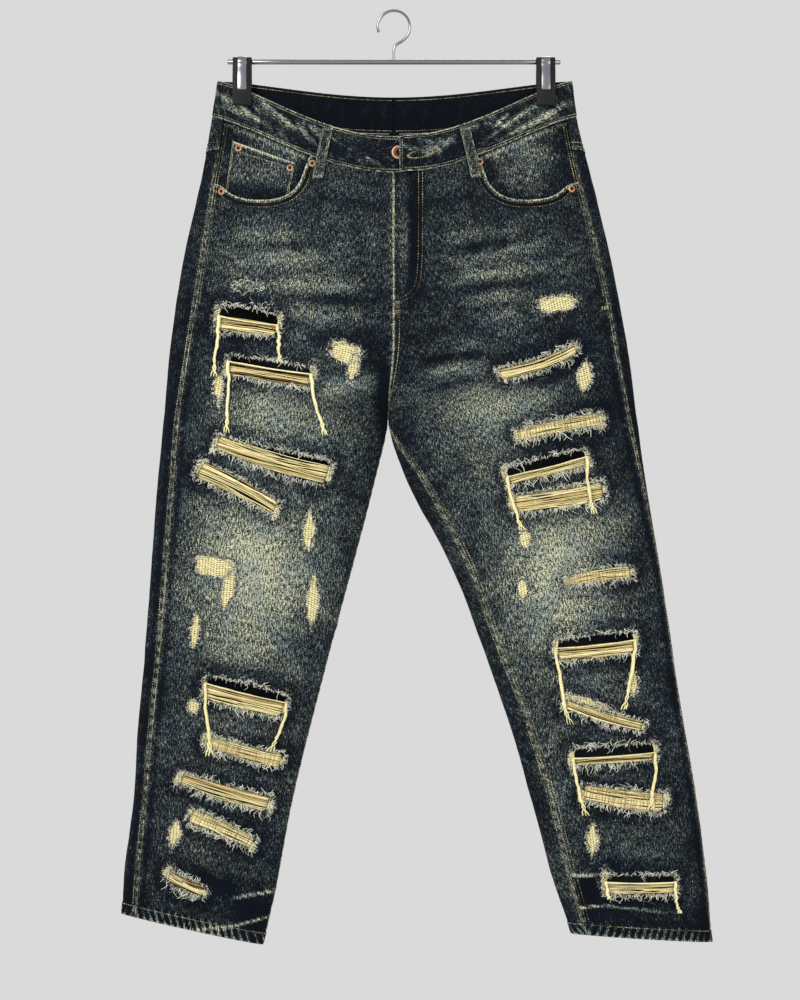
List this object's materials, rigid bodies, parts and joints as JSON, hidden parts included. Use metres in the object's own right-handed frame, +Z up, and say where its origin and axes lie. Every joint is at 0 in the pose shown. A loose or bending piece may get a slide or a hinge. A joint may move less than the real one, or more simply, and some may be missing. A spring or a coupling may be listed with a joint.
{
  "type": "ripped jeans on a clip hanger",
  "caption": "Ripped, vintage-washed denim jeans hanging open by the waistband from a clip hanger.",
  "frame": {"origin": "inner top of the hanger's hook, where the rail carries it", "axes": "+Z up, front of the jeans towards -Y, wearer's right leg towards -X"},
  "size_m": [0.6855, 0.0934, 1.0842],
  "materials": {
    "denim": "matte",
    "yarn": "matte",
    "copper": "satin",
    "clip_plastic": "matte",
    "hanger_steel": "polished"
  },
  "bodies": {
    "root": {"back_left": "denim", "back_pocket_left": "denim", "back_pocket_right": "denim", "back_right": "denim", "belt_loop_back": "denim", "belt_loop_front_left": "denim", "belt_loop_front_right": "denim", "belt_loop_side_left": "denim", "belt_loop_side_right": "denim", "button": "copper", "clip_left": "clip_plastic", "clip_right": "clip_plastic", "coin_pocket": "denim", "front_left": "denim", "front_right": "denim", "hanger": "hanger_steel", "hanging_yarn_l10": "yarn", "hanging_yarn_l3": "yarn", "hanging_yarn_l6": "yarn", "hanging_yarn_l8": "yarn", "hanging_yarn_r1": "yarn", "hanging_yarn_r2": "yarn", "hanging_yarn_r5": "yarn", "pocket_facing_left": "denim", "pocket_facing_right": "denim", "rip_l10_yarns": "yarn", "rip_l1_yarns": "yarn", "rip_l2_yarns": "yarn", "rip_l3_yarns": "yarn", "rip_l4_yarns": "yarn", "rip_l5_yarns": "yarn", "rip_l6_yarns": "yarn", "rip_l7_yarns": "yarn", "rip_l8_yarns": "yarn", "rip_l9_yarns": "yarn", "rip_r1_yarns": "yarn", "rip_r2_yarns": "yarn", "rip_r3_yarns": "yarn", "rip_r4_yarns": "yarn", "rip_r5_yarns": "yarn", "rip_r6_yarns": "yarn", "rip_r7_yarns": "yarn", "rip_r8_yarns": "yarn", "rip_r9_yarns": "yarn", "rivet_coin_inner": "copper", "rivet_coin_outer": "copper", "rivet_pocket_left_inner": "copper", "rivet_pocket_left_outer": "copper", "rivet_pocket_right_inner": "copper", "rivet_pocket_right_outer": "copper", "waistband_left": "denim", "waistband_right": "denim", "yoke_left": "denim", "yoke_right": "denim", "zip": "copper"}
  },
  "joints": []
}
